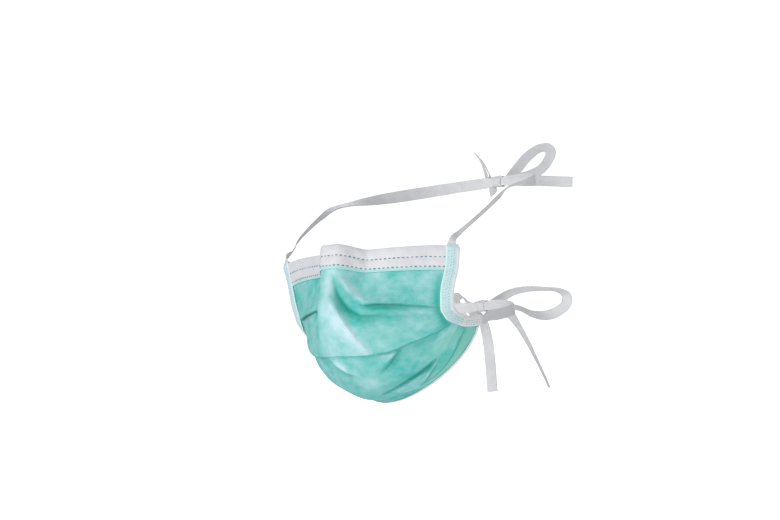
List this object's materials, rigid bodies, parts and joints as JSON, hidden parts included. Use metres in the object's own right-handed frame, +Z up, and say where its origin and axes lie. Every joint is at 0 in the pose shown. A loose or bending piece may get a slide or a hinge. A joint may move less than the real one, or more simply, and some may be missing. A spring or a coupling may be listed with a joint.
{
  "type": "tie-on medical face mask",
  "caption": "Pleated tie-on medical face mask in its worn form: soft green body, white nose band, side bindings, hem, ties and two bows.",
  "frame": {"origin": "bridge of the nose, at the middle of the mask's top edge", "axes": "+X to the wearer's left, -Y to the front, +Y to the back of the head, +Z up"},
  "size_m": [0.1566, 0.2523, 0.1687],
  "materials": {
    "green_nonwoven": "matte",
    "white_band": "matte",
    "white_binding": "matte",
    "white_tie": "matte"
  },
  "bodies": {
    "root": {"panel": "green_nonwoven", "nose_band": "white_band", "lower_hem": "white_band", "side_binding_left": "white_binding", "side_binding_right": "white_binding", "upper_tie_left": "white_tie", "upper_tie_right": "white_tie", "lower_tie_left": "white_tie", "lower_tie_right": "white_tie", "upper_knot": "white_tie", "lower_knot": "white_tie", "upper_loop_left": "white_tie", "upper_loop_right": "white_tie", "lower_loop_left": "white_tie", "lower_loop_right": "white_tie", "upper_tail_left": "white_tie", "upper_tail_right": "white_tie", "lower_tail_left": "white_tie", "lower_tail_right": "white_tie"}
  },
  "joints": []
}
